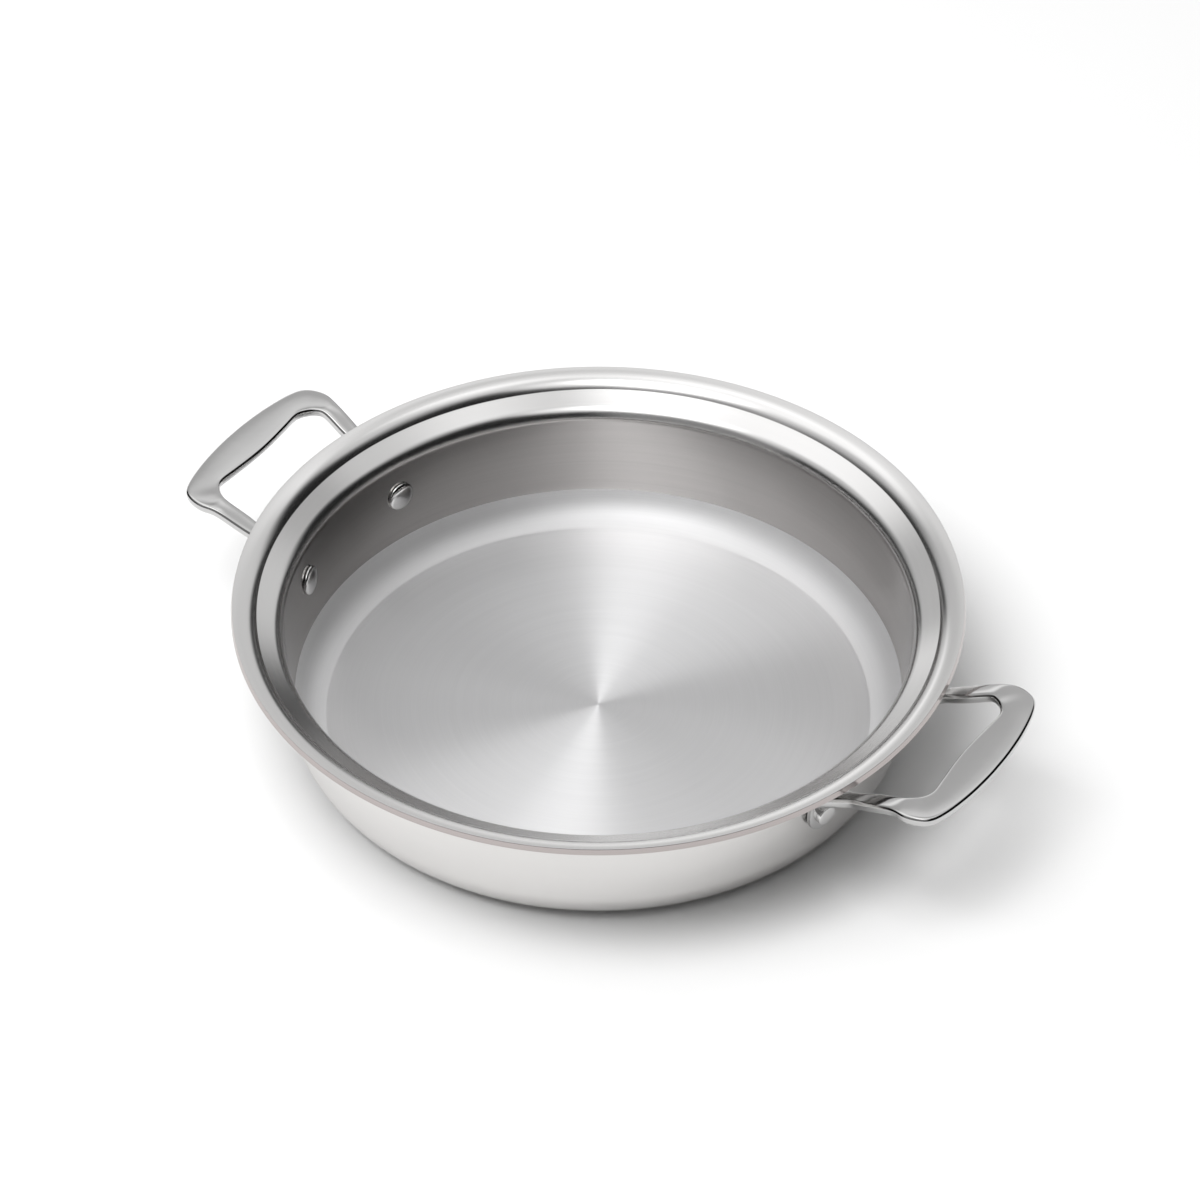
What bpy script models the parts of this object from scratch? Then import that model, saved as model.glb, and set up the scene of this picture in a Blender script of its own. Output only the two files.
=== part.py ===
"""Saute pan: a deep-drawn three-ply pan with a stepped lid seat and two riveted loop handles.

Metres, +Z up. The pan stands on z = 0 with its axis on Z, and the handles lie along X.
"""

import cmath
import math

import bmesh
import bpy
from mathutils import Matrix, Vector

# Pan body, drawn as its inner face. Widths are measured inwards, from the rim to the lip's knee, the seat's
# corner and the top of the wall, and drops down from the lip
RIM_RADIUS = 0.150
PAN_HEIGHT = 0.065
LIP_WIDTH = 0.0074
LIP_SLOPE = math.radians(15.0)
LIP_ROLL_RADIUS = 0.0104
RISER_WIDTH = 0.0023
SEAT_DROP = 0.0051
SEAT_WIDTH = 0.0103
SEAT_SLOPE = math.radians(28.0)
SEAT_NOSE_RADIUS = 0.0045
WALL_DRAFT = math.radians(4.2)
FLOOR_CORNER_RADIUS = 0.0162
CREASE_RADIUS = 0.0005

# The part of a straight side that a bend at its end may use, and the part that it leaves
BEND_SHARE = 0.95
SPARE_SHARE = 1.0 - BEND_SHARE

# Sheet: two steel plies with the aluminium core between them
STEEL_PLY = 0.0004
CORE_PLY = 0.0012
CLEARANCE = 0.0003
TURN_SEGMENTS = 48

# Rivets
RIVET_HALF_SPACING = 0.0332
RIVET_DROP = 0.0285
SHANK_RADIUS = 0.0030
INNER_HEAD_RADIUS = 0.0064
INNER_HEAD_HEIGHT = 0.0024
INNER_HEAD_SIDE = 0.0007
OUTER_HEAD_RADIUS = 0.0043
OUTER_HEAD_HEIGHT = 0.0020
OUTER_HEAD_EDGE = 0.0004
RIVET_SEGMENTS = 18

# Handle casting
LUG_HALF_WIDTH = 0.0074
LUG_TIP = 0.0086
LUG_THICKNESS = 0.0028
LUG_BEND_RADIUS = 0.0060
LEG_THICKNESS = 0.0046
GRIP_THICKNESS = 0.0066
GRIP_TILT = math.radians(4.4)
HANDLE_SIDE = 0.0022
HANDLE_EDGE = 0.0008
HANDLE_CROWN = 0.0004

# Half of the handle's loop from the leg to the middle of the grip: the outside edge and the opening's edge,
# each as (beyond the rim, off the handle's middle), and the drop of the top face below the lip
HANDLE_LOOP = [
    ((-0.0075, 0.0396), (-0.0075, 0.0333), 0.0116),
    ((0.0027, 0.0417), (0.0030, 0.0333), 0.0067),
    ((0.0137, 0.0436), (0.0136, 0.0347), 0.0016),
    ((0.0219, 0.0451), (0.0177, 0.0336), 0.0004),
    ((0.0301, 0.0422), (0.0208, 0.0310), 0.0001),
    ((0.0340, 0.0347), (0.0230, 0.0265), -0.0001),
    ((0.0367, 0.0215), (0.0225, 0.0183), -0.0001),
    ((0.0379, 0.0089), (0.0218, 0.0090), -0.0001),
    ((0.0381, 0.0000), (0.0215, 0.0000), -0.0001),
]
LOOP_LEG_STATIONS = 2
LOOP_STEPS = 2

MATERIALS = {
    "brushed_steel": ((0.62, 0.62, 0.63, 1.0), 0.32),
    "aluminium": ((0.80, 0.77, 0.75, 1.0), 0.40),
    "satin_steel": ((0.66, 0.66, 0.67, 1.0), 0.25),
    "polished_steel": ((0.72, 0.72, 0.73, 1.0), 0.08),
}


# Scene, materials and the ways that solids are made

def clear_scene():
    for item in list(bpy.data.objects):
        bpy.data.objects.remove(item, do_unlink=True)


def metal(name, slot):
    color, roughness = MATERIALS[slot]
    material = bpy.data.materials.new(name + "_finish")
    material.use_nodes = True
    shader = material.node_tree.nodes["Principled BSDF"]
    shader.inputs["Base Color"].default_value = color
    shader.inputs["Metallic"].default_value = 1.0
    shader.inputs["Roughness"].default_value = roughness
    return material


def make_mesh(name, solid, slot):
    """Finish a bmesh as a mesh with outward faces, smooth apart from its sharp edges."""
    bmesh.ops.recalc_face_normals(solid, faces=solid.faces)
    mesh = bpy.data.meshes.new(name)
    solid.to_mesh(mesh)
    solid.free()
    mesh.materials.append(metal(name, slot))
    mesh.shade_smooth()
    mesh.set_sharp_from_angle(angle=math.radians(35.0))
    return mesh


def place(name, mesh, matrix=None):
    item = bpy.data.objects.new(name, mesh)
    bpy.context.scene.collection.objects.link(item)
    if matrix is not None:
        item.matrix_world = matrix
    return item


def turned(outline, segments, axis):
    """A solid of revolution from an outline that starts and ends on its axis."""
    solid = bmesh.new()
    verts = [solid.verts.new(point) for point in outline]
    edges = [solid.edges.new(pair) for pair in zip(verts, verts[1:])]
    bmesh.ops.spin(solid, geom=verts + edges, cent=(0.0, 0.0, 0.0), axis=axis, dvec=(0.0, 0.0, 0.0),
                   angle=math.tau, steps=segments, use_merge=True, use_duplicate=False)
    bmesh.ops.remove_doubles(solid, verts=solid.verts, dist=1e-6)
    return solid


def lofted(rings):
    """A skin through closed rings of points, capped at its first ring and open at its last."""
    solid = bmesh.new()
    loops = []
    for ring in rings:
        verts = [solid.verts.new(point) for point in ring]
        loops.append([solid.edges.new(pair) for pair in zip(verts, verts[1:] + verts[:1])])
    for loop, following in zip(loops, loops[1:]):
        bmesh.ops.bridge_loops(solid, edges=loop + following)
    bmesh.ops.edgeloop_fill(solid, edges=loops[0])
    return solid


# Drawings are in one radial plane, where a point is complex(radius, height)

def rounded(corner, before, after, radius, room, steps):
    """The arc that rounds a corner between two directions, as points and directions along it.

    The room is the length of the shorter side, which the arc never uses up.
    """
    turn = cmath.phase(after / before)
    radius = min(radius, BEND_SHARE * room / math.tan(abs(turn) / 2.0))
    start = corner - before * radius * math.tan(abs(turn) / 2.0)
    centre = start + before * complex(0.0, math.copysign(radius, turn))
    arc = []
    for step in range(steps + 1):
        swing = cmath.exp(1j * turn * step / steps)
        arc.append((centre + (start - centre) * swing, before * swing))
    return arc


def direction(start, end):
    return (end - start) / abs(end - start)


def crossing(point, along, other, other_along):
    """Where two lines of the drawing meet."""
    gap = other - point
    run = (gap * other_along.conjugate()).imag / (along * other_along.conjugate()).imag
    return point + along * run


def sheet_thickness():
    return 2.0 * STEEL_PLY + CORE_PLY + 2.0 * CLEARANCE


def rim_corners():
    """The sharp corners that the inner face is bent round: lip, knee, seat corner and nose of the wall."""
    lip = complex(RIM_RADIUS, PAN_HEIGHT)
    knee = lip - complex(LIP_WIDTH, LIP_WIDTH * math.tan(LIP_SLOPE))
    seat = complex(knee.real - RISER_WIDTH, PAN_HEIGHT - SEAT_DROP)
    nose = seat - complex(SEAT_WIDTH, SEAT_WIDTH * math.tan(SEAT_SLOPE))
    return lip, knee, seat, nose


def inner_face():
    """The pan's inner face from the lip to the centre of the floor, as points and directions."""
    lip, knee, seat, nose = rim_corners()
    floor = complex(0.0, sheet_thickness())
    wall_down = cmath.rect(1.0, -math.pi / 2.0 - WALL_DRAFT)
    foot = crossing(nose, wall_down, floor, complex(1.0, 0.0))
    lip_in = direction(lip, knee)
    face = [(lip, lip_in)]
    riser = abs(seat - knee)
    face += rounded(knee, lip_in, direction(knee, seat), LIP_ROLL_RADIUS, min(abs(knee - lip), riser), 3)
    face += rounded(seat, direction(knee, seat), direction(seat, nose), CREASE_RADIUS, SPARE_SHARE * riser, 1)
    face += rounded(nose, direction(seat, nose), wall_down, SEAT_NOSE_RADIUS, abs(nose - seat) / 2.0, 2)
    face += rounded(foot, wall_down, complex(-1.0, 0.0), FLOOR_CORNER_RADIUS, abs(foot - nose) / 2.0, 5)
    face.append((floor, complex(-1.0, 0.0)))
    return face


def parallel(face, depth):
    """The face that lies this deep in the sheet, square to the inner face all along."""
    return [point + 1j * along * depth for point, along in face]


def wall_line(depth):
    """One point of the straight wall at this depth in the sheet, and the direction up the wall."""
    nose = rim_corners()[-1]
    wall_up = cmath.rect(1.0, math.pi / 2.0 - WALL_DRAFT)
    return nose - 1j * wall_up * depth, wall_up


# The three bonded plies of the pan

def ply(name, top_depth, bottom_depth, slot, cutter):
    face = inner_face()
    outline = parallel(face, bottom_depth)[::-1] + parallel(face, top_depth)
    solid = turned([(point.real, 0.0, point.imag) for point in outline], TURN_SEGMENTS, (0.0, 0.0, 1.0))
    item = place(name, make_mesh(name, solid, slot))
    pierce(item, cutter)
    return item


def pierce(item, cutter):
    holes = item.modifiers.new("rivet_holes", 'BOOLEAN')
    holes.operation = 'DIFFERENCE'
    holes.solver = 'EXACT'
    holes.object = cutter


# Rivets. A rivet is drawn along +X from the inner face of the wall, square to it

def rivet_azimuth():
    return math.asin(RIVET_HALF_SPACING / rivet_seat().real)


def rivet_seat():
    wall, wall_up = wall_line(0.0)
    return crossing(wall, wall_up, complex(0.0, PAN_HEIGHT - RIVET_DROP), complex(1.0, 0.0))


def rivet_frame(side, row):
    """Where a rivet goes: side is 1 for +X and -1 for -X, and row is 1 for +Y and -1 for -Y."""
    seat = rivet_seat()
    azimuth = row * rivet_azimuth() if side > 0 else math.pi - row * rivet_azimuth()
    turn = Matrix.Rotation(azimuth, 4, 'Z')
    return turn @ Matrix.Translation((seat.real, 0.0, seat.imag)) @ Matrix.Rotation(WALL_DRAFT, 4, 'Y')


def rivet_outline():
    """Domed head inside, shank through the wall and the lug, and a flat round head on the lug."""
    seat_radius = rivet_seat().real
    head_sagitta = seat_radius - math.sqrt(seat_radius ** 2 - INNER_HEAD_RADIUS ** 2)
    facet_sagitta = seat_radius * (1.0 - math.cos(math.pi / TURN_SEGMENTS))
    inner_seat = -head_sagitta - facet_sagitta - CLEARANCE
    outer_seat = sheet_thickness() + LUG_THICKNESS + 2.0 * CLEARANCE
    dome_height = INNER_HEAD_HEIGHT - INNER_HEAD_SIDE
    outline = []
    for step in range(5):
        angle = math.radians(90.0) * step / 4
        outline.append((inner_seat - INNER_HEAD_SIDE - dome_height * math.cos(angle),
                        INNER_HEAD_RADIUS * math.sin(angle)))
    outline.append((inner_seat, INNER_HEAD_RADIUS))
    outline.append((inner_seat, SHANK_RADIUS))
    outline.append((outer_seat, SHANK_RADIUS))
    outline.append((outer_seat, OUTER_HEAD_RADIUS))
    outline.append((outer_seat + OUTER_HEAD_HEIGHT - OUTER_HEAD_EDGE, OUTER_HEAD_RADIUS))
    outline.append((outer_seat + OUTER_HEAD_HEIGHT, OUTER_HEAD_RADIUS - OUTER_HEAD_EDGE))
    outline.append((outer_seat + OUTER_HEAD_HEIGHT, 0.0))
    return [(along, 0.0, radius) for along, radius in outline]


def rivet_hole_cutter():
    """Four clearance cylinders through the wall and the lugs, in one hidden object."""
    cutter = bmesh.new()
    length = 2.0 * (sheet_thickness() + LUG_THICKNESS + LEG_THICKNESS)
    for side in (1, -1):
        for row in (1, -1):
            along_x = Matrix.Rotation(math.pi / 2.0, 4, 'Y')
            bmesh.ops.create_cone(cutter, cap_ends=True, segments=RIVET_SEGMENTS,
                                  radius1=SHANK_RADIUS + CLEARANCE, radius2=SHANK_RADIUS + CLEARANCE,
                                  depth=length, matrix=rivet_frame(side, row) @ along_x)
    mesh = bpy.data.meshes.new("rivet_hole_cutter")
    cutter.to_mesh(mesh)
    cutter.free()
    item = place("rivet_hole_cutter", mesh)
    item.hide_render = True
    item.display_type = 'WIRE'
    return item


# Handle. Half of the casting is lofted through sections, from the tip of the lug up the wall, out under
# the rim along the leg, round the corner and to the middle of the grip, and is then mirrored

def section(outer, opening, thickness, down, flatness, crown, wrap):
    """One ring round the casting, between its outside edge and the edge on the opening's side."""
    across = (outer - opening).normalized()
    middle = (outer + opening) / 2.0
    half = (outer - opening).length / 2.0
    edge = min(HANDLE_EDGE, 0.4 * half)
    shape = []
    for place_across in (0.45, 1.0):
        reach = place_across * (half - edge)
        shape.append((reach, -crown * (1.0 - (reach / half) ** 2)))
    shape.append((half - 0.3 * edge, 0.3 * edge))
    shape.append((half, edge))
    shape.append((half, HANDLE_SIDE))
    for angle in (math.radians(35.0), math.radians(70.0)):
        shape.append((half * math.cos(angle) ** (2.0 / flatness),
                      HANDLE_SIDE + (thickness - HANDLE_SIDE) * math.sin(angle) ** (2.0 / flatness)))
    ring = shape + [(-reach, depth) for reach, depth in reversed(shape)]
    wall_radius = middle.xy.length
    outward = Vector((middle.x, middle.y, 0.0)).normalized()
    points = []
    for reach, depth in ring:
        bow = wrap * (half ** 2 - reach ** 2) / (2.0 * wall_radius)
        points.append(middle + across * reach + down * depth + outward * bow)
    return points


def lug_stations():
    """Centre line of the lug's back face in the rivet's radial plane: points with half widths."""
    depth = sheet_thickness() + CLEARANCE
    back, wall_up = wall_line(depth)
    rivet = crossing(back, wall_up, rivet_seat(), -1j * wall_up)
    leg_foot, leg_next = [loop_radial(station) for station in HANDLE_LOOP[:2]]
    leg_out = direction(leg_foot, leg_next)
    knee = crossing(back, wall_up, leg_foot, leg_out)
    stations = []
    for angle in (78.0, 60.0, 40.0, 20.0, 0.0):
        drop = LUG_TIP * math.sin(math.radians(angle))
        stations.append((rivet - wall_up * drop, LUG_HALF_WIDTH * math.cos(math.radians(angle))))
    bend_room = min(abs(leg_foot - knee), abs(knee - rivet))
    bend_points = [point for point, along in rounded(knee, wall_up, leg_out, LUG_BEND_RADIUS, bend_room, 3)]
    leg_half = (HANDLE_LOOP[0][0][1] - HANDLE_LOOP[0][1][1]) / 2.0
    bend_length = sum(abs(b - a) for a, b in zip(bend_points, bend_points[1:]))
    whole = bend_length + abs(leg_foot - bend_points[-1])
    run = 0.0
    for index, point in enumerate(bend_points):
        run += abs(point - bend_points[index - 1]) if index else 0.0
        taper = (1.0 - math.cos(math.pi * run / whole)) / 2.0
        stations.append((point, LUG_HALF_WIDTH + (leg_half - LUG_HALF_WIDTH) * taper))
    return stations


def loop_radial(station):
    """The middle of a station of the loop, in the radial plane."""
    (outer_out, outer_off), (opening_out, opening_off), drop = station
    middle = complex(RIM_RADIUS + (outer_out + opening_out) / 2.0, (outer_off + opening_off) / 2.0)
    return complex(abs(middle), PAN_HEIGHT - drop)


def loop_edges(station):
    (outer_out, outer_off), (opening_out, opening_off), drop = station
    rise = (outer_out - opening_out) / 2.0 * math.tan(GRIP_TILT)
    outer = Vector((RIM_RADIUS + outer_out, outer_off, PAN_HEIGHT - drop + rise))
    opening = Vector((RIM_RADIUS + opening_out, opening_off, PAN_HEIGHT - drop - rise))
    return outer, opening


def smooth_between(points, steps):
    """More points on a smooth curve through the given ones, which mirrors itself at its last point."""
    beyond = Vector((points[-2].x, -points[-2].y, points[-2].z))
    known = [points[0] * 2.0 - points[1]] + points + [beyond]
    curve = []
    for index in range(1, len(known) - 2):
        before, start, end, after = known[index - 1:index + 3]
        for step in range(steps):
            share = step / steps
            curve.append(0.5 * (2.0 * start + (end - before) * share
                                + (2.0 * before - 5.0 * start + 4.0 * end - after) * share ** 2
                                + (3.0 * start - before - 3.0 * end + after) * share ** 3))
    curve.append(points[-1])
    return curve


def handle_rings():
    azimuth = rivet_azimuth()
    outers, openings = [], []
    lug = lug_stations()
    for point, half in lug:
        spread = half / point.real
        outers.append(Matrix.Rotation(azimuth + spread, 3, 'Z') @ Vector((point.real, 0.0, point.imag)))
        openings.append(Matrix.Rotation(azimuth - spread, 3, 'Z') @ Vector((point.real, 0.0, point.imag)))
    loop = [loop_edges(station) for station in HANDLE_LOOP]
    outers += smooth_between([outer for outer, opening in loop], LOOP_STEPS)
    openings += smooth_between([opening for outer, opening in loop], LOOP_STEPS)
    middles = [(outer + opening) / 2.0 for outer, opening in zip(outers, openings)]
    grip_start = len(lug) + LOOP_LEG_STATIONS * LOOP_STEPS
    last = len(middles) - 1
    rings = []
    for index, (outer, opening) in enumerate(zip(outers, openings)):
        if index == last:
            along = Vector((0.0, -1.0, 0.0))
        else:
            along = middles[index + 1] - middles[max(index - 1, 0)]
        down = (outer - opening).cross(along).normalized()
        leg_share = min(max((index - len(lug) + 4) / 4.0, 0.0), 1.0)
        grip_share = min(max((index - grip_start) / (last - grip_start), 0.0), 1.0)
        thickness = LUG_THICKNESS + (LEG_THICKNESS - LUG_THICKNESS) * leg_share
        thickness += (GRIP_THICKNESS - LEG_THICKNESS) * math.sin(math.pi / 2.0 * grip_share)
        flatness = 8.0 - 5.0 * leg_share - 0.8 * grip_share
        rings.append(section(outer, opening, thickness, down, flatness, HANDLE_CROWN * leg_share,
                             1.0 - leg_share))
    return rings


def handle(name, mesh, turn, cutter):
    item = place(name, mesh, Matrix.Rotation(turn, 4, 'Z'))
    mirror = item.modifiers.new("other_half", 'MIRROR')
    mirror.use_axis = (False, True, False)
    mirror.use_clip = True
    mirror.merge_threshold = 0.00005
    pierce(item, cutter)
    return item


def build():
    clear_scene()
    cutter = rivet_hole_cutter()

    core_top = STEEL_PLY + CLEARANCE
    core_bottom = core_top + CORE_PLY
    ply("inner_steel_ply", 0.0, STEEL_PLY, "brushed_steel", cutter)
    ply("aluminium_core", core_top, core_bottom, "aluminium", cutter)
    ply("outer_steel_ply", core_bottom + CLEARANCE, sheet_thickness(), "satin_steel", cutter)

    handle_mesh = make_mesh("loop_handle", lofted(handle_rings()), "polished_steel")
    handle("right_handle", handle_mesh, 0.0, cutter)
    handle("left_handle", handle_mesh, math.pi, cutter)

    rivet = turned(rivet_outline(), RIVET_SEGMENTS, (1.0, 0.0, 0.0))
    rivet_mesh = make_mesh("rivet", rivet, "polished_steel")
    for side, side_name in ((1, "right"), (-1, "left")):
        for row, row_name in ((1, "rear"), (-1, "front")):
            place(f"{side_name}_handle_{row_name}_rivet", rivet_mesh, rivet_frame(side, row))


build()
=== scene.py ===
import cmath
import math

import bmesh
import bpy
from mathutils import Matrix, Vector


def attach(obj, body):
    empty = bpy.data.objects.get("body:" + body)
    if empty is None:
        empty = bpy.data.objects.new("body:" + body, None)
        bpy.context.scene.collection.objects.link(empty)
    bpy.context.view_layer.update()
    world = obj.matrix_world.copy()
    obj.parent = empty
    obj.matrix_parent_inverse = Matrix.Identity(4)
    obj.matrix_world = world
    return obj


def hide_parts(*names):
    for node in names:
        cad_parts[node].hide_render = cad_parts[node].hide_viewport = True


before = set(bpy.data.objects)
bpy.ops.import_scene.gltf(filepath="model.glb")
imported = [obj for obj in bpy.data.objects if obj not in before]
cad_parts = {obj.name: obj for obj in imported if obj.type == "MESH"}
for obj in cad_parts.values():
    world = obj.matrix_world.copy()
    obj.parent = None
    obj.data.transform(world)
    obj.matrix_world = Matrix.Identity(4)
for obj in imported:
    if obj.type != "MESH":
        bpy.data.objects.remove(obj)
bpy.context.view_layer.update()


# Inner steel lining: the stainless sheet that food touches. It is drawn with the rest of the sheet to a
# straight wall, a sloping seat for a lid and a flared lip, then brushed in circles on a lathe.

RIM_RADIUS = 0.150
PAN_HEIGHT = 0.065
LIP_WIDTH = 0.0074
LIP_SLOPE = math.radians(15.0)
LIP_ROLL_RADIUS = 0.0094
RISER_WIDTH = 0.0023
SEAT_DROP = 0.0051
SEAT_CREASE_RADIUS = 0.0004
SEAT_WIDTH = 0.0103
SEAT_SLOPE = math.radians(28.0)
SEAT_NOSE_RADIUS = 0.0075
WALL_DRAFT = math.radians(4.2)
FLOOR_CORNER_RADIUS = 0.0162
FLOOR_FINISH_HEIGHT = 0.0146
FLOOR_FLAT_HEIGHT = 0.0029
SHEET_THICKNESS = 0.0026
LINING_THICKNESS = 0.0003
EDGE_ROUNDING = 0.00012
EDGE_EASING = 0.3
TURN_SEGMENTS = 288
BEND_STEPS = 12
CREASE_STEPS = 4
CORNER_STEPS = 24
FLOOR_RINGS = (0.66, 0.33, 0.1, 0.03)
SHARP_TURNING = 40.0

# Painted light and shade: the floor, corner and wall are one steel, but the floor and corner tints are set
# much lighter and the wall tint darker, for how the light falls on them.
WALL_TINT_AND_PAINTED_SHADE = (0.525, 0.507, 0.497)
WALL_ROUGHNESS = 0.17
WALL_ANISOTROPY = 0.60
RIM_TINT = (0.748, 0.741, 0.737)
RIM_ROUGHNESS = 0.20
FLOOR_TINT_AND_PAINTED_LIGHT = (0.910, 0.909, 0.915)
FLOOR_ROUGHNESS = 0.44
FLOOR_ANISOTROPY = 1.0
CORNER_TINT_AND_PAINTED_LIGHT = (0.930, 0.929, 0.934)
CORNER_ROUGHNESS = 0.52
CORNER_ANISOTROPY = 0.62
ACROSS_THE_BRUSHING = 0.25


def direction(start, end):
    return (end - start) / abs(end - start)


def crossing(point, along, other, other_along):
    run = ((other - point) * other_along.conjugate()).imag / (along * other_along.conjugate()).imag
    return point + along * run


def rounded(corner, before, after, radius, steps):
    """Points and directions round a bend of the sheet, in a radial plane of complex(radius, height)."""
    turn = cmath.phase(after / before)
    start = corner - before * radius * math.tan(abs(turn) / 2.0)
    centre = start + before * complex(0.0, math.copysign(radius, turn))
    arc = []
    for step in range(steps + 1):
        swing = cmath.exp(1j * turn * step / steps)
        arc.append((centre + (start - centre) * swing, before * swing))
    return arc


def rim_corners():
    """The sharp corners that the sheet is bent round: lip, knee, seat corner and nose of the wall."""
    lip = complex(RIM_RADIUS, PAN_HEIGHT)
    knee = lip - complex(LIP_WIDTH, LIP_WIDTH * math.tan(LIP_SLOPE))
    seat = complex(knee.real - RISER_WIDTH, PAN_HEIGHT - SEAT_DROP)
    nose = seat - complex(SEAT_WIDTH, SEAT_WIDTH * math.tan(SEAT_SLOPE))
    return lip, knee, seat, nose


def inner_face():
    """The inner face of the sheet from the lip to the middle of the floor."""
    lip, knee, seat, nose = rim_corners()
    wall_down = cmath.rect(1.0, -math.pi / 2.0 - WALL_DRAFT)
    inwards = complex(-1.0, 0.0)
    floor = complex(0.0, SHEET_THICKNESS)
    foot = crossing(nose, wall_down, floor, inwards)
    lip_in = direction(lip, knee)
    face = [(lip, lip_in)]
    face += rounded(knee, lip_in, direction(knee, seat), LIP_ROLL_RADIUS, BEND_STEPS)
    face += rounded(seat, direction(knee, seat), direction(seat, nose), SEAT_CREASE_RADIUS, CREASE_STEPS)
    face += rounded(nose, direction(seat, nose), wall_down, SEAT_NOSE_RADIUS, BEND_STEPS)
    face += rounded(foot, wall_down, inwards, FLOOR_CORNER_RADIUS, CORNER_STEPS)
    for share in FLOOR_RINGS:
        face.append((complex(share * face[-1][0].real, SHEET_THICKNESS), inwards))
    face.append((floor, inwards))
    return face


def parallel(face, depth):
    """The points of a face of the sheet that lies this deep under the inner face."""
    return [point + 1j * along * depth for point, along in face]


def turned(name, outline):
    """A piece spun round the pan's axis from an outline that starts and ends on it."""
    solid = bmesh.new()
    verts = [solid.verts.new((point.real, 0.0, point.imag)) for point in outline]
    edges = [solid.edges.new(pair) for pair in zip(verts, verts[1:])]
    bmesh.ops.spin(solid, geom=verts + edges, cent=(0.0, 0.0, 0.0), axis=(0.0, 0.0, 1.0),
                   dvec=(0.0, 0.0, 0.0), angle=math.tau, steps=TURN_SEGMENTS, use_merge=True)
    bmesh.ops.remove_doubles(solid, verts=solid.verts, dist=1e-6)
    bmesh.ops.recalc_face_normals(solid, faces=solid.faces)
    return piece_from(name, solid, SHARP_TURNING)


def piece_from(name, solid, sharp_angle):
    """Make the finished solid a piece. Edges that bend more than sharp_angle degrees stay sharp."""
    mesh = bpy.data.meshes.new(name)
    solid.to_mesh(mesh)
    solid.free()
    mesh.shade_smooth()
    mesh.set_sharp_from_angle(angle=math.radians(sharp_angle))
    piece = bpy.data.objects.new(name, mesh)
    bpy.context.scene.collection.objects.link(piece)
    return piece


def sheet_layer(name, top_depth, bottom_depth):
    """One layer of the sheet. Where the lip is trimmed, only the sheet's two outside corners are eased."""
    face = inner_face()
    top = parallel(face, top_depth)
    bottom = parallel(face, bottom_depth)
    lip_in = face[0][1]
    across = direction(top[0], bottom[0]) * EDGE_ROUNDING
    along = lip_in * EDGE_ROUNDING
    edge = []
    if bottom_depth == SHEET_THICKNESS:
        edge += [bottom[0] - across * EDGE_EASING + along * EDGE_EASING, bottom[0] - across]
        bottom[0] += along
    if top_depth == 0.0:
        edge += [top[0] + across, top[0] + across * EDGE_EASING + along * EDGE_EASING]
        top[0] += along
    return turned(name, bottom[::-1] + edge + top)


def height_of(face):
    return face.center.z


def reach_of(face):
    return math.hypot(face.center.x, face.center.y)


def finish_faces(piece, finish, measure, lowest, highest):
    """Give one finish to the faces of a turned piece in a ring of radii or a band of heights."""
    index = piece.data.materials.find(finish.name)
    for face in piece.data.polygons:
        if lowest <= measure(face) <= highest:
            face.material_index = index


class Value:
    """A shader socket that can be used in Python sums, and that makes the nodes for them."""

    def __init__(self, tree, socket):
        self.tree = tree
        self.socket = socket

    def node(self, kind, inputs=None, settings=None, output=0):
        made = self.tree.nodes.new(kind)
        for setting, value in (settings or {}).items():
            setattr(made, setting, value)
        for key, value in (inputs or {}).items():
            if isinstance(value, Value):
                self.tree.links.new(value.socket, made.inputs[key])
            else:
                made.inputs[key].default_value = value
        return Value(self.tree, made.outputs[output])

    def math(self, operation, first, second=0.0):
        return self.node("ShaderNodeMath", {0: first, 1: second}, {"operation": operation})

    def __add__(self, other):
        return self.math("ADD", self, other)

    __radd__ = __add__

    def __sub__(self, other):
        return self.math("SUBTRACT", self, other)

    def __rsub__(self, other):
        return self.math("SUBTRACT", other, self)

    def __mul__(self, other):
        return self.math("MULTIPLY", self, other)

    __rmul__ = __mul__

    def __truediv__(self, other):
        return self.math("DIVIDE", self, other)


def new_metal(name, tint, roughness, anisotropy=0.0):
    """A bare metal. Gives the material, its shader and a Value to build its pattern from."""
    material = bpy.data.materials.new(name)
    material.use_nodes = True
    tree = material.node_tree
    shader = tree.nodes["Principled BSDF"]
    shader.inputs["Base Color"].default_value = (*tint, 1.0)
    shader.inputs["Metallic"].default_value = 1.0
    shader.inputs["Roughness"].default_value = roughness
    shader.inputs["Anisotropic"].default_value = anisotropy
    shader.inputs["Anisotropic Rotation"].default_value = ACROSS_THE_BRUSHING if anisotropy else 0.0
    place = tree.nodes.new("ShaderNodeTexCoord")
    return material, shader, Value(tree, place.outputs["Object"])


HEIGHT_IN_BRUSHING = 0.7
AXIS_CLEARANCE = 0.0001


def brushed_in_circles(start, lines_per_metre, waver):
    """Noise drawn out round the pan's axis, as a turning pad leaves it: 0 to 1, 0.5 in the mean.

    Height counts beside the radius, so that an upright wall is brushed too.
    """
    split = start.node("ShaderNodeSeparateXYZ", {0: start})
    x, y, z = [Value(start.tree, socket) for socket in split.socket.node.outputs]
    radius = start.math("SQRT", x * x + y * y)
    turn_x = x / (radius + AXIS_CLEARANCE)
    turn_y = y / (radius + AXIS_CLEARANCE)
    where = start.node("ShaderNodeCombineXYZ", {0: (radius + z * HEIGHT_IN_BRUSHING) * lines_per_metre,
                                                1: turn_x * waver, 2: turn_y * waver})
    return start.node("ShaderNodeTexNoise", {"Vector": where, "Scale": 1.0, "Detail": 3.0,
                                             "Roughness": 0.6})


def link(shader, socket, value):
    value.tree.links.new(value.socket, shader.inputs[socket])


def tinted(tone, tint, darkest, lightest):
    """The tint, made darker where the tone is 0 and lighter where it is 1."""
    dark, light = [tuple(channel * share for channel in tint) + (1.0,) for share in (darkest, lightest)]
    return tone.node("ShaderNodeMix", {0: tone, 6: dark, 7: light}, {"data_type": 'RGBA'}, output=2)


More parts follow.
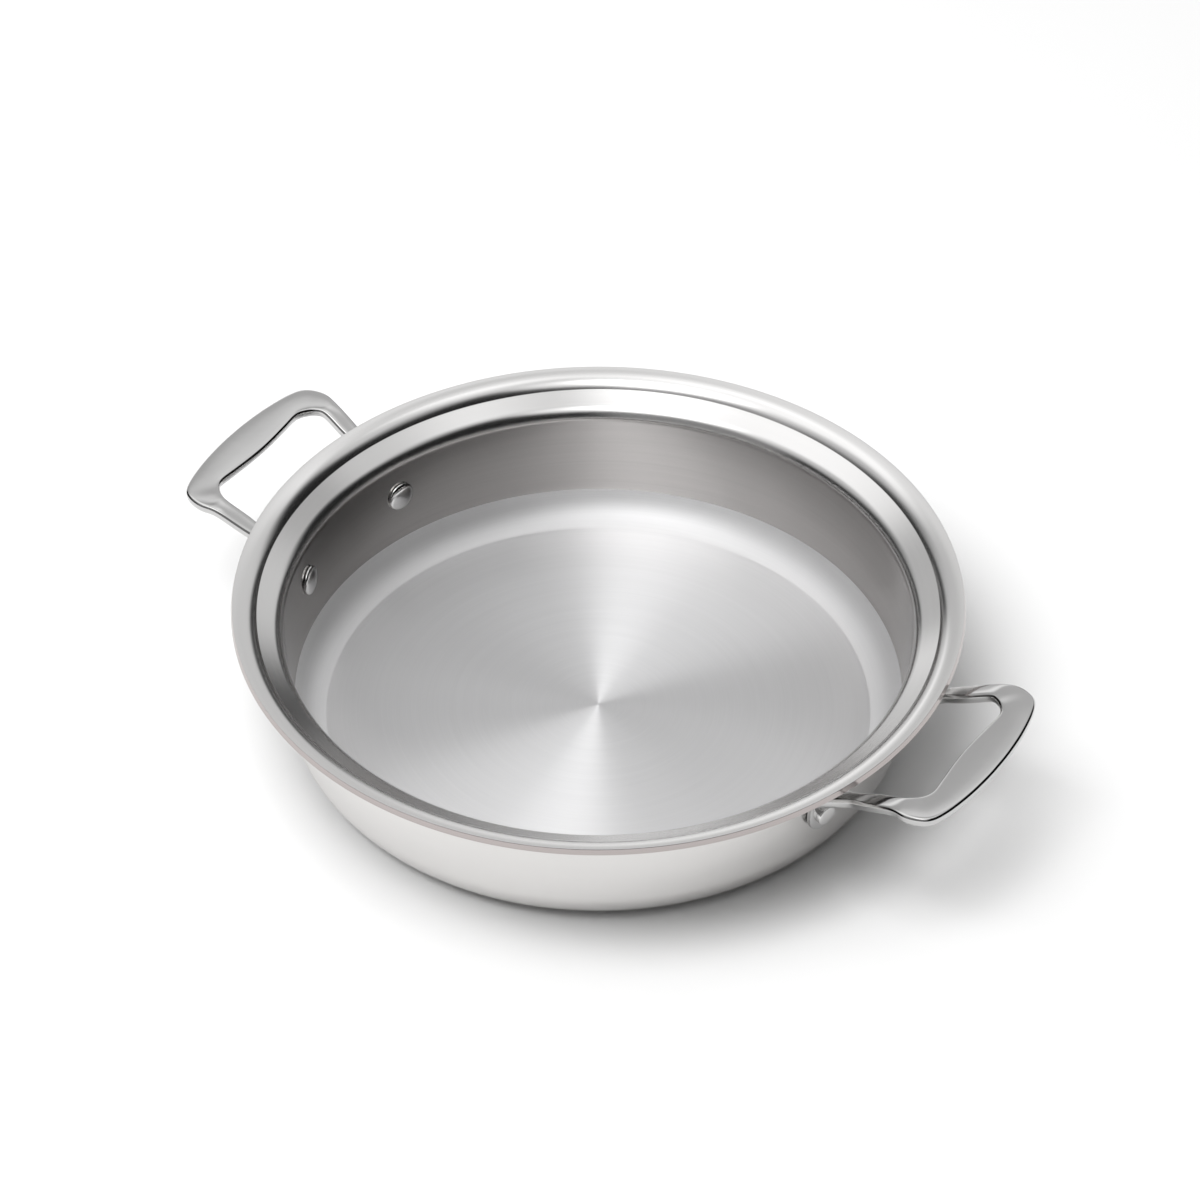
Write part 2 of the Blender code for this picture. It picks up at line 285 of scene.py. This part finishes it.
def brushed_steel(name, tint, roughness, anisotropy, fine, broad, fine_share, depth, rubbed):
    """A steel brushed in circles. Fine and broad each give lines per metre and how far they waver.

    The lines change the tint by depth to both sides, and the broad ones the roughness by rubbed in all.
    """
    material, shader, start = new_metal(name, tint, roughness, anisotropy)
    fine_lines = brushed_in_circles(start, *fine)
    broad_lines = brushed_in_circles(start, *broad)
    tone = fine_share * fine_lines + (1.0 - fine_share) * broad_lines
    link(shader, "Base Color", tinted(tone, tint, 1.0 - depth, 1.0 + depth))
    link(shader, "Roughness", roughness - rubbed / 2.0 + rubbed * broad_lines)
    return material


lining = sheet_layer("inner_steel_lining", 0.0, LINING_THICKNESS)

wall_steel = brushed_steel("brushed_wall_steel", WALL_TINT_AND_PAINTED_SHADE, WALL_ROUGHNESS, WALL_ANISOTROPY,
                           fine=(1900.0, 1.1), broad=(420.0, 0.6), fine_share=0.6, depth=0.14, rubbed=0.08)
floor_steel = brushed_steel("brushed_floor_steel", FLOOR_TINT_AND_PAINTED_LIGHT, FLOOR_ROUGHNESS, FLOOR_ANISOTROPY,
                            fine=(2100.0, 1.1), broad=(300.0, 0.5), fine_share=0.6, depth=0.07, rubbed=0.04)
corner_steel = brushed_steel("brushed_corner_steel", CORNER_TINT_AND_PAINTED_LIGHT, CORNER_ROUGHNESS, CORNER_ANISOTROPY,
                             fine=(2100.0, 1.1), broad=(300.0, 0.5), fine_share=0.6,
                             depth=0.06, rubbed=0.04)
rim_steel = brushed_steel("polished_rim_steel", RIM_TINT, RIM_ROUGHNESS, WALL_ANISOTROPY,
                          fine=(5200.0, 1.0), broad=(700.0, 0.6), fine_share=0.5, depth=0.06, rubbed=0.04)

CUT_EDGE_TINT = (0.440, 0.402, 0.393)
CUT_EDGE_ROUGHNESS = 0.18
CUT_EDGE_DEPTH = 0.00002
WELL_OUTSIDE = 0.2

trimmed_edge, shader, start = new_metal("polished_trimmed_edge", CUT_EDGE_TINT, CUT_EDGE_ROUGHNESS)
link(shader, "Base Color", tinted(brushed_in_circles(start, 9000.0, 3.0), CUT_EDGE_TINT, 0.94, 1.06))

for finish in (wall_steel, floor_steel, rim_steel, trimmed_edge, corner_steel):
    lining.data.materials.append(finish)
finish_faces(lining, floor_steel, height_of, 0.0, FLOOR_FLAT_HEIGHT)
finish_faces(lining, corner_steel, height_of, FLOOR_FLAT_HEIGHT, FLOOR_FINISH_HEIGHT)
finish_faces(lining, rim_steel, reach_of, rim_corners()[-1].real, RIM_RADIUS)
finish_faces(lining, trimmed_edge, reach_of, RIM_RADIUS - CUT_EDGE_DEPTH, WELL_OUTSIDE)
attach(lining, "root")
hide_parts("inner_steel_ply")


# Aluminium core: the middle of the bonded sheet, which spreads the heat. Only its edge shows, as the warm
# line round the rim, where the sheet was trimmed and polished without a cover.

CORE_BOTTOM = 0.0023

core = sheet_layer("aluminium_core_layer", LINING_THICKNESS, CORE_BOTTOM)
core.data.materials.append(trimmed_edge)
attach(core, "root")
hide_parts("aluminium_core")


# Outer steel skin: the stainless sheet bonded outside the core, polished to a soft satin on the same lathe.
# It stands on the hob with its flat base.

SKIN_TINT = (0.740, 0.729, 0.718)
SKIN_ROUGHNESS = 0.20
SKIN_ANISOTROPY = 0.55
SKIN_EDGE_REACH = 0.0003

skin = sheet_layer("outer_steel_skin", CORE_BOTTOM, SHEET_THICKNESS)
skin_steel = brushed_steel("satin_skin_steel", SKIN_TINT, SKIN_ROUGHNESS, SKIN_ANISOTROPY,
                           fine=(6500.0, 1.0), broad=(260.0, 0.5), fine_share=0.5, depth=0.05, rubbed=0.06)
skin.data.materials.append(skin_steel)
skin.data.materials.append(trimmed_edge)
finish_faces(skin, trimmed_edge, reach_of, RIM_RADIUS + SKIN_EDGE_REACH, WELL_OUTSIDE)
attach(skin, "root")
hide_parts("outer_steel_ply")


# Loop handles: two of the same stainless casting, polished all over. Each has a lug riveted flat on the
# wall at both ends, legs that rise out from under the lip, and a wide grip with a thicker belly.

RIVET_HALF_SPACING = 0.0332
RIVET_DROP = 0.0285
LUG_GAP = 0.0003
LUG_HALF_WIDTH = 0.0074
LUG_TIP = 0.0086
LUG_THICKNESS = 0.0028
LUG_BEND_RADIUS = 0.0060
LEG_THICKNESS = 0.0046
GRIP_THICKNESS = 0.0066
GRIP_TILT = math.radians(4.4)
HANDLE_SIDE = 0.0022
HANDLE_EDGE = 0.0009
HANDLE_CROWN = 0.0004
TOP_REACHES = (0.3, 0.65, 0.92)
EDGE_LINES = [(0.84, 0.02), (0.70, 0.12), (0.10, 0.83)]
BELLY_ANGLES = (22.0, 45.0, 66.0, 82.0)
LUG_FLATNESS = 9.0
LEG_FLATNESS = 3.0
GRIP_FLATNESS = 2.2
HANDLE_LOOP = [
    ((-0.0075, 0.0396), (-0.0075, 0.0333), 0.0116),
    ((0.0027, 0.0417), (0.0030, 0.0333), 0.0067),
    ((0.0137, 0.0436), (0.0136, 0.0347), 0.0016),
    ((0.0219, 0.0451), (0.0177, 0.0336), 0.0004),
    ((0.0301, 0.0422), (0.0208, 0.0310), 0.0001),
    ((0.0340, 0.0347), (0.0230, 0.0265), -0.0001),
    ((0.0367, 0.0215), (0.0225, 0.0183), -0.0001),
    ((0.0379, 0.0089), (0.0218, 0.0090), -0.0001),
    ((0.0381, 0.0000), (0.0215, 0.0000), -0.0001),
]
LOOP_STEPS = 4
LEG_STATIONS = 2
LUG_TIP_ANGLES = (84.0, 76.0, 66.0, 56.0, 46.0, 34.0, 20.0, 8.0)
LUG_BEND_STEPS = 7
WIDEST_EDGE_SHARE = 0.4
DEEPEST_SIDE_SHARE = 0.7
SMOOTHING_LEVELS = 2
ALL_SMOOTH = 180.0
HANDLE_TINT = (0.555, 0.552, 0.549)
HANDLE_ROUGHNESS = 0.10
HANDLE_SMOOTHEST = 0.07
HANDLE_HAZE = 0.08


def wall_line(depth):
    """A point and the upward direction of the wall, this deep under its inner face."""
    nose = rim_corners()[-1]
    wall_up = cmath.rect(1.0, math.pi / 2.0 - WALL_DRAFT)
    return nose - 1j * wall_up * depth, wall_up


def rivet_seat():
    """Where a rivet's axis meets the inner face of the wall."""
    wall, wall_up = wall_line(0.0)
    return crossing(wall, wall_up, complex(0.0, PAN_HEIGHT - RIVET_DROP), complex(1.0, 0.0))


def loop_radial(station):
    """The middle of the loop at a station, in its radial plane."""
    (outer_out, outer_off), (opening_out, opening_off), drop = station
    middle = complex(RIM_RADIUS + (outer_out + opening_out) / 2.0, (outer_off + opening_off) / 2.0)
    return complex(abs(middle), PAN_HEIGHT - drop)


def loop_edges(station):
    """The outer edge of the loop and the edge of its finger gap at a station, tilted as the grip is."""
    (outer_out, outer_off), (opening_out, opening_off), drop = station
    rise = (outer_out - opening_out) / 2.0 * math.tan(GRIP_TILT)
    return (Vector((RIM_RADIUS + outer_out, outer_off, PAN_HEIGHT - drop + rise)),
            Vector((RIM_RADIUS + opening_out, opening_off, PAN_HEIGHT - drop - rise)))


def lug_stations():
    """The back face of the lug and its bend: points in the rivet's radial plane, with half widths."""
    back, wall_up = wall_line(SHEET_THICKNESS + LUG_GAP)
    rivet = crossing(back, wall_up, rivet_seat(), -1j * wall_up)
    leg_foot, leg_next = loop_radial(HANDLE_LOOP[0]), loop_radial(HANDLE_LOOP[1])
    leg_out = direction(leg_foot, leg_next)
    knee = crossing(back, wall_up, leg_foot, leg_out)
    stations = []
    for angle in LUG_TIP_ANGLES:
        drop = LUG_TIP * math.sin(math.radians(angle))
        stations.append((rivet - wall_up * drop, LUG_HALF_WIDTH * math.cos(math.radians(angle))))
    bend = [point for point, along in rounded(knee, wall_up, leg_out, LUG_BEND_RADIUS, LUG_BEND_STEPS)]
    bend = [rivet + (bend[0] - rivet) / 2.0] + bend
    (outer_out, outer_off), (opening_out, opening_off), drop = HANDLE_LOOP[0]
    leg_half = (outer_off - opening_off) / 2.0
    whole = sum(abs(later - point) for point, later in zip(bend[1:], bend[2:] + [leg_foot]))
    run = 0.0
    for index, point in enumerate(bend):
        run += abs(point - bend[index - 1]) if index > 1 else 0.0
        taper = (1.0 - math.cos(math.pi * run / whole)) / 2.0
        stations.append((point, LUG_HALF_WIDTH + (leg_half - LUG_HALF_WIDTH) * taper))
    return stations


def smooth_between(points, steps):
    """A smooth curve through the stations, which meets its mirror image squarely at the last one."""
    beyond = Vector((points[-2].x, -points[-2].y, points[-2].z))
    known = [points[0] * 2.0 - points[1]] + points + [beyond]
    curve = []
    for index in range(1, len(known) - 2):
        before, start, end, after = known[index - 1:index + 3]
        for step in range(steps):
            share = step / steps
            curve.append(0.5 * (2.0 * start + (end - before) * share
                                + (2.0 * before - 5.0 * start + 4.0 * end - after) * share ** 2
                                + (3.0 * start - before - 3.0 * end + after) * share ** 3))
    return curve + [points[-1]]


def section(outer, opening, thickness, down, flatness, crown, wrap):
    """A ring round the casting: crowned top, fine edges, upright sides and a round belly."""
    across = (outer - opening).normalized()
    middle = (outer + opening) / 2.0
    half = (outer - opening).length / 2.0
    edge = min(HANDLE_EDGE, WIDEST_EDGE_SHARE * half)
    side = min(HANDLE_SIDE, DEEPEST_SIDE_SHARE * thickness)
    flat = half - edge
    shape = [(share * flat, -crown * (1.0 - (share * flat / half) ** 2)) for share in TOP_REACHES]
    shape += [(half - short * edge, down_share * edge) for short, down_share in EDGE_LINES]
    shape += [(half, edge), (half, side)]
    for angle in BELLY_ANGLES:
        turn = math.radians(angle)
        shape.append((half * math.cos(turn) ** (2.0 / flatness),
                      side + (thickness - side) * math.sin(turn) ** (2.0 / flatness)))
    ring = shape + [(-reach, depth) for reach, depth in reversed(shape)]
    wall_radius = middle.xy.length
    outward = Vector((middle.x, middle.y, 0.0)).normalized()
    return [middle + across * reach + down * depth
            + outward * wrap * (half ** 2 - reach ** 2) / (2.0 * wall_radius) for reach, depth in ring]


def handle_sections():
    """All rings of half a casting, from the tip of the rear lug to the middle of the grip."""
    azimuth = math.asin(RIVET_HALF_SPACING / rivet_seat().real)
    outers, openings = [], []
    lug = lug_stations()
    for point, half in lug:
        spread = half / point.real
        for edges, turn in ((outers, azimuth + spread), (openings, azimuth - spread)):
            edges.append(Matrix.Rotation(turn, 3, 'Z') @ Vector((point.real, 0.0, point.imag)))
    loop = [loop_edges(station) for station in HANDLE_LOOP]
    outers += smooth_between([outer for outer, opening in loop], LOOP_STEPS)
    openings += smooth_between([opening for outer, opening in loop], LOOP_STEPS)
    middles = [(outer + opening) / 2.0 for outer, opening in zip(outers, openings)]
    lug_last = len(lug) - 1
    lug_first_bend = lug_last - LUG_BEND_STEPS - 1
    grip_start = len(lug) + LEG_STATIONS * LOOP_STEPS
    last = len(middles) - 1
    rings = []
    for index, (outer, opening) in enumerate(zip(outers, openings)):
        if index == last:
            along = Vector((0.0, -1.0, 0.0))
        else:
            along = middles[index + 1] - middles[max(index - 1, 0)]
        down = (outer - opening).cross(along).normalized()
        leg_share = min(max((index - lug_first_bend) / (lug_last - lug_first_bend), 0.0), 1.0)
        grip_share = min(max((index - grip_start) / (last - grip_start), 0.0), 1.0)
        thickness = LUG_THICKNESS + (LEG_THICKNESS - LUG_THICKNESS) * leg_share
        thickness += (GRIP_THICKNESS - LEG_THICKNESS) * math.sin(math.pi / 2.0 * grip_share)
        flatness = LUG_FLATNESS + (LEG_FLATNESS - LUG_FLATNESS) * leg_share
        flatness += (GRIP_FLATNESS - LEG_FLATNESS) * grip_share
        rings.append(section(outer, opening, thickness, down, flatness, HANDLE_CROWN * leg_share,
                             1.0 - leg_share))
    return rings


def half_loop():
    """Half of the casting, swept from the tip of its lug to the middle of the grip."""
    rings = handle_sections()
    solid = bmesh.new()
    made = bmesh.ops.create_circle(solid, segments=len(rings[0]), radius=LUG_HALF_WIDTH)
    ring = list(made["verts"])
    edges = list(solid.edges)
    for vert, point in zip(ring, rings[0]):
        vert.co = point
    bmesh.ops.edgeloop_fill(solid, edges=edges)
    for points in rings[1:]:
        grown = bmesh.ops.extrude_edge_only(solid, edges=edges)["geom"]
        new_verts = {vert for vert in grown if isinstance(vert, bmesh.types.BMVert)}
        edges = [edge for edge in grown if isinstance(edge, bmesh.types.BMEdge)
                 and edge.verts[0] in new_verts and edge.verts[1] in new_verts]
        following = []
        for vert in ring:
            neighbours = [edge.other_vert(vert) for edge in vert.link_edges]
            following += [other for other in neighbours if other in new_verts]
        ring = following
        for vert, point in zip(ring, points):
            vert.co = point
    return solid


def loop_handle(name, node, turn):
    solid = half_loop()
    half = solid.verts[:] + solid.edges[:] + solid.faces[:]
    bmesh.ops.mirror(solid, geom=half, merge_dist=1e-5, axis='Y')
    bmesh.ops.remove_doubles(solid, verts=solid.verts, dist=1e-6)
    bmesh.ops.recalc_face_normals(solid, faces=solid.faces)
    turning = Matrix.Rotation(turn, 3, 'Z')
    bmesh.ops.rotate(solid, verts=solid.verts, cent=(0.0, 0.0, 0.0), matrix=turning)
    handle = piece_from(name, solid, ALL_SMOOTH)
    rounding = handle.modifiers.new("polished_curves", 'SUBSURF')
    rounding.levels = SMOOTHING_LEVELS
    rounding.render_levels = SMOOTHING_LEVELS
    handle.data.materials.append(handle_steel)
    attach(handle, "root")
    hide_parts(node)


def fine_marks(start, marks_per_metre, detail, coarseness):
    """Noise with no direction, as buffing and handling leave it: 0 to 1, 0.5 in the mean."""
    return start.node("ShaderNodeTexNoise", {"Vector": start, "Scale": marks_per_metre, "Detail": detail,
                                             "Roughness": coarseness})


handle_steel, shader, start = new_metal("mirror_polished_steel", HANDLE_TINT, HANDLE_ROUGHNESS)
buffing = fine_marks(start, marks_per_metre=160.0, detail=2.0, coarseness=0.5)
hazing = fine_marks(start, marks_per_metre=60.0, detail=3.0, coarseness=0.6)
link(shader, "Roughness", HANDLE_SMOOTHEST + HANDLE_HAZE * hazing)
link(shader, "Base Color", tinted(hazing, HANDLE_TINT, 0.97, 1.03))
buffed = start.node("ShaderNodeBump", {"Strength": 0.05, "Distance": 0.0004, "Height": buffing})
link(shader, "Normal", buffed)

loop_handle("right_loop_handle", "right_handle", 0.0)
loop_handle("left_loop_handle", "left_handle", math.pi)


# Rivets: four round stainless rivets, two to a handle. Each has a low domed head inside the pan and a flat
# round head on the lug, with its shank through the lug and the wall.

SHANK_RADIUS = 0.0030
INNER_HEAD_RADIUS = 0.0064
INNER_HEAD_HEIGHT = 0.0024
INNER_HEAD_SIDE = 0.0007
INNER_HEAD_FOOT = [(0.45, 1.0), (0.0, 0.97)]
INNER_HEAD_GAP = 0.0001
DOME_STEPS = 12
DOME_FULLNESS = 1.15
OUTER_HEAD_RADIUS = 0.0043
OUTER_HEAD_HEIGHT = 0.0020
OUTER_HEAD_EDGE = 0.0004
OUTER_EDGE_STEPS = 5
OUTER_HEAD_CROWN = 0.00015
OUTER_HEAD_TOP = [(0.8, 0.55), (1.0, 0.0)]
RIVET_SEGMENTS = 72
SHARP_RIVETING = 50.0
RIVET_TINT = (0.760, 0.755, 0.750)
RIVET_ROUGHNESS = 0.10
RIVET_SMOOTHEST = 0.05
RIVET_HAZE = 0.08


def rivet_solid():
    """One rivet, turned round its axis: the inner head towards -X, the outer head towards +X."""
    inner_seat = -INNER_HEAD_RADIUS ** 2 / (2.0 * rivet_seat().real) - INNER_HEAD_GAP
    outer_seat = SHEET_THICKNESS + LUG_GAP + LUG_THICKNESS
    dome = INNER_HEAD_HEIGHT - INNER_HEAD_SIDE
    outline = []
    for step in range(DOME_STEPS + 1):
        angle = math.radians(90.0) * step / DOME_STEPS
        outline.append((inner_seat - INNER_HEAD_SIDE - dome * math.cos(angle) ** DOME_FULLNESS,
                        INNER_HEAD_RADIUS * math.sin(angle)))
    for side_share, reach_share in INNER_HEAD_FOOT:
        outline.append((inner_seat - side_share * INNER_HEAD_SIDE, reach_share * INNER_HEAD_RADIUS))
    outline += [(inner_seat, SHANK_RADIUS), (outer_seat, SHANK_RADIUS), (outer_seat, OUTER_HEAD_RADIUS)]
    top = outer_seat + OUTER_HEAD_HEIGHT
    for step in range(OUTER_EDGE_STEPS + 1):
        angle = math.radians(90.0) * step / OUTER_EDGE_STEPS
        outline.append((top - OUTER_HEAD_EDGE * (1.0 - math.sin(angle)),
                        OUTER_HEAD_RADIUS - OUTER_HEAD_EDGE * (1.0 - math.cos(angle))))
    for crown_share, reach_share in OUTER_HEAD_TOP:
        outline.append((top + crown_share * OUTER_HEAD_CROWN, reach_share * OUTER_HEAD_RADIUS))
    solid = bmesh.new()
    verts = [solid.verts.new((along, 0.0, out)) for along, out in outline]
    edges = [solid.edges.new(pair) for pair in zip(verts, verts[1:])]
    bmesh.ops.spin(solid, geom=verts + edges, cent=(0.0, 0.0, 0.0), axis=(1.0, 0.0, 0.0),
                   dvec=(0.0, 0.0, 0.0), angle=math.tau, steps=RIVET_SEGMENTS, use_merge=True)
    bmesh.ops.remove_doubles(solid, verts=solid.verts, dist=1e-7)
    bmesh.ops.recalc_face_normals(solid, faces=solid.faces)
    return solid


def rivet_frame(side, row):
    """Where a rivet sits: square to the leaning wall, on the right or left, in the rear or front row."""
    seat = rivet_seat()
    azimuth = math.asin(RIVET_HALF_SPACING / seat.real)
    turn = row * azimuth if side > 0 else math.pi - row * azimuth
    return (Matrix.Rotation(turn, 4, 'Z') @ Matrix.Translation((seat.real, 0.0, seat.imag))
            @ Matrix.Rotation(WALL_DRAFT, 4, 'Y'))


rivet_steel, shader, start = new_metal("rivet_steel", RIVET_TINT, RIVET_ROUGHNESS)
handling = fine_marks(start, marks_per_metre=900.0, detail=3.0, coarseness=0.6)
link(shader, "Roughness", RIVET_SMOOTHEST + RIVET_HAZE * handling)
link(shader, "Base Color", tinted(handling, RIVET_TINT, 0.90, 1.08))

for side, side_name in ((1, "right"), (-1, "left")):
    for row, row_name in ((1, "rear"), (-1, "front")):
        solid = rivet_solid()
        bmesh.ops.transform(solid, matrix=rivet_frame(side, row), verts=solid.verts)
        rivet = piece_from(f"{side_name}_{row_name}_rivet", solid, SHARP_RIVETING)
        rivet.data.materials.append(rivet_steel)
        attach(rivet, "root")
        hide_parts(f"{side_name}_handle_{row_name}_rivet")


# Camera, set up from the photograph: the pan is turned so that its right handle comes forward.

PHOTO_TURN = math.radians(33.3)
CAMERA_BACK = 1.2807
CAMERA_UP = 1.1184
CAMERA_PITCH = math.radians(41.24)
CAMERA_YAW = math.radians(0.03)
CAMERA_LENS = 124.35
SENSOR_WIDTH = 36.0

photo_turn = Matrix.Rotation(PHOTO_TURN, 4, 'Z')
lens = bpy.data.cameras.new("photo_camera")
lens.lens = CAMERA_LENS
lens.sensor_width = SENSOR_WIDTH
camera = bpy.data.objects.new("photo_camera", lens)
camera.matrix_world = (photo_turn @ Matrix.Translation((0.0, -CAMERA_BACK, PAN_HEIGHT + CAMERA_UP))
                       @ Matrix.Rotation(-CAMERA_YAW, 4, 'Z')
                       @ Matrix.Rotation(math.pi / 2.0 - CAMERA_PITCH, 4, 'X'))
bpy.context.scene.collection.objects.link(camera)
bpy.context.scene.camera = camera


# White table: a plain matt sheet under the pan that shows white where nothing shades it, and the lamps that
# throw the pan's soft shadow over it. Each lamp has its turn from the pan's right as the camera sees it and
# its height, in degrees, and its watts.

TABLE_SIZE = 6.0
TABLE_COLOUR = 0.68

solid = bmesh.new()
bmesh.ops.create_grid(solid, x_segments=1, y_segments=1, size=TABLE_SIZE)
table = piece_from("white_table", solid, ALL_SMOOTH)
table_white = bpy.data.materials.new("white_table_sheet")
table_white.use_nodes = True
shader = table_white.node_tree.nodes["Principled BSDF"]
shader.inputs["Base Color"].default_value = (TABLE_COLOUR, TABLE_COLOUR, TABLE_COLOUR, 1.0)
shader.inputs["Roughness"].default_value = 1.0
shader.inputs["Specular IOR Level"].default_value = 0.0
table.data.materials.append(table_white)

LAMP_SIZE = 1.2
LAMP_DISTANCE = 2.4
TABLE_LAMPS = [(240.0, 75.0, 23.0), (200.0, 55.0, 15.0), (225.0, 60.0, 17.0), (110.0, 35.0, 6.0)]

for number, (turn, height, power) in enumerate(TABLE_LAMPS, 1):
    table_light = bpy.data.lights.new(f"table_lamp_{number}", 'AREA')
    table_light.shape = 'DISK'
    table_light.size = LAMP_SIZE
    table_light.energy = power
    lamp = bpy.data.objects.new(f"table_lamp_{number}", table_light)
    lamp.matrix_world = (photo_turn @ Matrix.Rotation(math.radians(turn), 4, 'Z')
                         @ Matrix.Rotation(math.radians(90.0 - height), 4, 'Y')
                         @ Matrix.Translation((0.0, 0.0, LAMP_DISTANCE)))
    lamp.visible_glossy = False
    bpy.context.scene.collection.objects.link(lamp)


# Studio light: a pale backdrop behind the pan, soft lamps round and over it, and a dark room for the rest.
# Azimuths turn to the right from straight behind the pan, as the camera sees it, in degrees like heights.
# Each soft lamp has its azimuth, height, half width and level.

BACKDROP_LEFT_LIGHT = 0.57
BACKDROP_RIGHT_LIGHT = 0.72
BACKDROP_SHADING = (-35.0, 35.0)
BACKDROP_FOOT = (11.0, 19.0)
BACKDROP_TOP = (50.0, 60.0)
BACKDROP_LEFT_END = (-82.0, -35.0)
BACKDROP_RIGHT_END = (42.0, 64.0)
ROOM_LIGHT = 0.01
LAMP_FADE = 0.25
SOFT_LAMPS = [
    (-120.0, 80.0, 34.0, 0.44),
    (-90.0, 62.0, 34.0, 0.38),
    (-150.0, 62.0, 18.0, 1.22),
    (-85.0, 45.0, 24.0, 0.22),
    (180.0, 60.0, 18.0, 0.72),
    (-60.0, 62.0, 20.0, 0.26),
    (0.0, 66.0, 22.0, 0.40),
    (60.0, 62.0, 20.0, 0.32),
    (90.0, 62.0, 20.0, 0.42),
    (-12.0, 3.0, 22.0, 0.70),
    (-145.0, 22.0, 30.0, 0.24),
]

world = bpy.data.worlds.new("studio")
bpy.context.scene.world = world
world.use_nodes = True
tree = world.node_tree
tree.nodes.clear()
place = tree.nodes.new("ShaderNodeTexCoord")
start = Value(tree, place.outputs["Generated"])


def towards(right_share, back_share, up_share):
    """How far the looked at direction goes this way, as the camera sees right, back and up."""
    way = photo_turn.to_3x3() @ Vector((right_share, back_share, up_share))
    return start.node("ShaderNodeVectorMath", {0: start, 1: tuple(way)}, {"operation": 'DOT_PRODUCT'},
                      output=1)


def ramp(value, low, high):
    """0 below low, 1 above high and smooth between."""
    return start.node("ShaderNodeMapRange", {"Value": value, "From Min": low, "From Max": high},
                      {"interpolation_type": 'SMOOTHSTEP'})


def soft_lamp(azimuth, height, half_width, level):
    """A round patch of light that fades at its edge."""
    azimuth, height, half_width = [math.radians(angle) for angle in (azimuth, height, half_width)]
    level_out = math.cos(height)
    near = towards(level_out * math.sin(azimuth), level_out * math.cos(azimuth), math.sin(height))
    dark, full = math.cos((1.0 + LAMP_FADE) * half_width), math.cos((1.0 - LAMP_FADE) * half_width)
    return level * ramp(near, dark, full)


right = towards(1.0, 0.0, 0.0)
back = towards(0.0, 1.0, 0.0)
height = start.math("ARCSINE", towards(0.0, 0.0, 1.0)) * math.degrees(1.0)
azimuth = start.math("ARCTAN2", right, back) * math.degrees(1.0)

backdrop_change = BACKDROP_RIGHT_LIGHT - BACKDROP_LEFT_LIGHT
light = BACKDROP_LEFT_LIGHT + backdrop_change * ramp(azimuth, *BACKDROP_SHADING)
light = light * ramp(height, *BACKDROP_FOOT) * (1.0 - ramp(height, *BACKDROP_TOP))
light = light * ramp(azimuth, *BACKDROP_LEFT_END) * (1.0 - ramp(azimuth, *BACKDROP_RIGHT_END))
for lamp_values in SOFT_LAMPS:
    light = light + soft_lamp(*lamp_values)
light = light + ROOM_LIGHT

# The camera itself sees plain white behind the pan.
camera_ray = start.node("ShaderNodeLightPath")
light = light * (1.0 - camera_ray) + camera_ray
shade = start.node("ShaderNodeBackground", {"Color": (1.0, 1.0, 1.0, 1.0), "Strength": light})
surface = tree.nodes.new("ShaderNodeOutputWorld")
tree.links.new(shade.socket, surface.inputs["Surface"])

bpy.context.scene.view_settings.view_transform = 'Standard'


bpy.context.view_layer.update()
